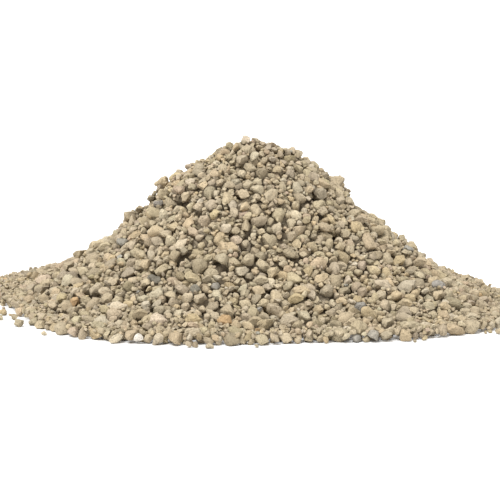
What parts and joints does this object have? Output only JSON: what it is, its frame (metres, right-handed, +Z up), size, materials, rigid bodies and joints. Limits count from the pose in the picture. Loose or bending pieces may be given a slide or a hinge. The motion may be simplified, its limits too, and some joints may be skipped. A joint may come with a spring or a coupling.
{
  "type": "heap of zeolite granulate",
  "caption": "Poured, bell-shaped heap of dusty tan zeolite granules with a wide thin foot, flat underneath, larger and odd-coloured granules lying in the slope, strays beside it",
  "frame": {"origin": "middle of the heap and its stray granules seen from above, on the surface that it rests on", "axes": "+Z up; +X to the right of someone who faces the front of the heap; -Y is the front, the side that the picture shows"},
  "size_m": [0.3314, 0.3204, 0.0981],
  "materials": {
    "zeolite_tan": "matte, dusty, finely pitted broken stone, light tan",
    "zeolite_grey": "matte, dusty broken stone, grey to olive grey",
    "zeolite_rust": "matte, dusty broken stone, rust orange"
  },
  "bodies": {
    "root": {"heap": "zeolite_tan", "large_granule_01": "zeolite_tan", "large_granule_02": "zeolite_tan", "large_granule_03": "zeolite_tan", "large_granule_04": "zeolite_tan", "large_granule_05": "zeolite_tan", "large_granule_06": "zeolite_tan", "large_granule_07": "zeolite_tan", "large_granule_08": "zeolite_tan", "large_granule_09": "zeolite_tan", "large_granule_10": "zeolite_tan", "large_granule_11": "zeolite_tan", "large_granule_12": "zeolite_tan", "large_granule_13": "zeolite_tan", "large_granule_14": "zeolite_tan", "large_granule_15": "zeolite_tan", "large_granule_16": "zeolite_tan", "large_granule_17": "zeolite_tan", "large_granule_18": "zeolite_tan", "large_granule_19": "zeolite_tan", "large_granule_20": "zeolite_tan", "large_granule_21": "zeolite_tan", "large_granule_22": "zeolite_tan", "large_granule_23": "zeolite_tan", "large_granule_24": "zeolite_tan", "large_granule_25": "zeolite_tan", "grey_granule_1": "zeolite_grey", "grey_granule_2": "zeolite_grey", "grey_granule_3": "zeolite_grey", "grey_granule_4": "zeolite_grey", "grey_granule_5": "zeolite_grey", "rust_granule": "zeolite_rust", "rear_granule_01": "zeolite_tan", "rear_granule_02": "zeolite_tan", "rear_granule_03": "zeolite_tan", "rear_granule_04": "zeolite_tan", "rear_granule_05": "zeolite_grey", "rear_granule_06": "zeolite_tan", "rear_granule_07": "zeolite_tan", "rear_granule_08": "zeolite_tan", "rear_granule_09": "zeolite_tan", "rear_granule_10": "zeolite_grey", "rear_granule_11": "zeolite_tan", "rear_granule_12": "zeolite_tan", "rear_granule_13": "zeolite_tan", "loose_granule_01": "zeolite_tan", "loose_granule_02": "zeolite_tan", "loose_granule_03": "zeolite_tan", "loose_granule_04": "zeolite_tan", "loose_granule_05": "zeolite_tan", "loose_granule_06": "zeolite_tan", "loose_granule_07": "zeolite_tan", "loose_granule_08": "zeolite_tan", "loose_granule_09": "zeolite_tan", "loose_granule_10": "zeolite_tan", "loose_granule_11": "zeolite_tan", "loose_granule_12": "zeolite_tan", "loose_granule_13": "zeolite_tan"}
  },
  "joints": []
}
